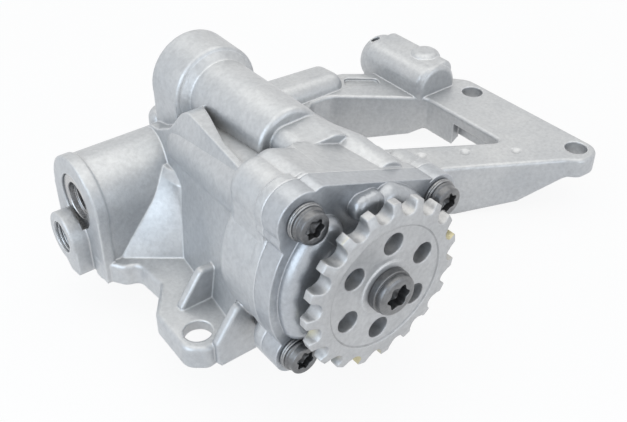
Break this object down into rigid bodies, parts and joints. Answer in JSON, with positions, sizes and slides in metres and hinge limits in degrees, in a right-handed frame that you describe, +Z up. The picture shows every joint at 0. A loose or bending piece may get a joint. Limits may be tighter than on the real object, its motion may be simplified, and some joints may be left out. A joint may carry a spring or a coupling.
{
  "type": "engine oil pump",
  "caption": "Cast engine oil pump with a chain sprocket, a gerotor set behind a bolted cover, a cross-mounted relief valve and a windowed mounting frame.",
  "frame": {"origin": "On the drive shaft's axis, in the plane of the sprocket's front face", "axes": "+Y from the sprocket back along the shaft, +X towards the mounting frame, +Z up, away from the mounting face"},
  "size_m": [0.1817, 0.1446, 0.0778],
  "materials": {
    "cast_aluminium": "satin shot-blasted die casting",
    "cast_aluminium_cover": "satin die casting",
    "dark_steel": "dark phosphate steel",
    "bright_steel": "ground steel",
    "sprocket_steel": "turned sintered steel",
    "sintered_steel": "sintered and ground steel",
    "spring_steel": "oiled spring wire",
    "bush_bronze": "bearing bronze",
    "seal_rubber": "black seal rubber"
  },
  "bodies": {
    "casing": {"pump_housing": "cast_aluminium", "front_cover": "cast_aluminium_cover", "cover_screws": "dark_steel", "cover_screw_washers": "dark_steel", "cover_dowels": "bright_steel", "front_shaft_bush": "bush_bronze", "rear_shaft_bush": "bush_bronze", "relief_sleeve": "bright_steel", "relief_sleeve_seal": "seal_rubber", "relief_snap_ring": "spring_steel", "relief_spring": "spring_steel", "intake_seal": "seal_rubber", "outlet_seal": "seal_rubber"},
    "drive_group": {"drive_sprocket": "sprocket_steel", "sprocket_screw": "dark_steel", "drive_shaft": "bright_steel", "inner_rotor": "sintered_steel"},
    "outer_rotor_body": {"outer_rotor": "sintered_steel"},
    "relief_piston_body": {"relief_piston": "bright_steel"}
  },
  "joints": [
    {"name": "drive_spin", "type": "hinge", "parent": "casing", "child": "drive_group", "pos_m": [0, 0, 0], "axis": [0, 1, 0], "continuous": true},
    {"name": "outer_rotor_spin", "type": "hinge", "parent": "casing", "child": "outer_rotor_body", "pos_m": [-0.00199, 0.025, 0.00017], "axis": [0, 1, 0], "continuous": true},
    {"name": "relief_slide", "type": "slide", "parent": "casing", "child": "relief_piston_body", "axis": [-1, 0, 0], "range_m": [0, 0.008], "stiffness_N_per_m": 3000, "springref_m": -0.004, "deforming": ["relief_spring"]}
  ],
  "couplings": [
    {"joint": "outer_rotor_spin", "follows": "drive_spin", "ratio": 0.85714}
  ]
}
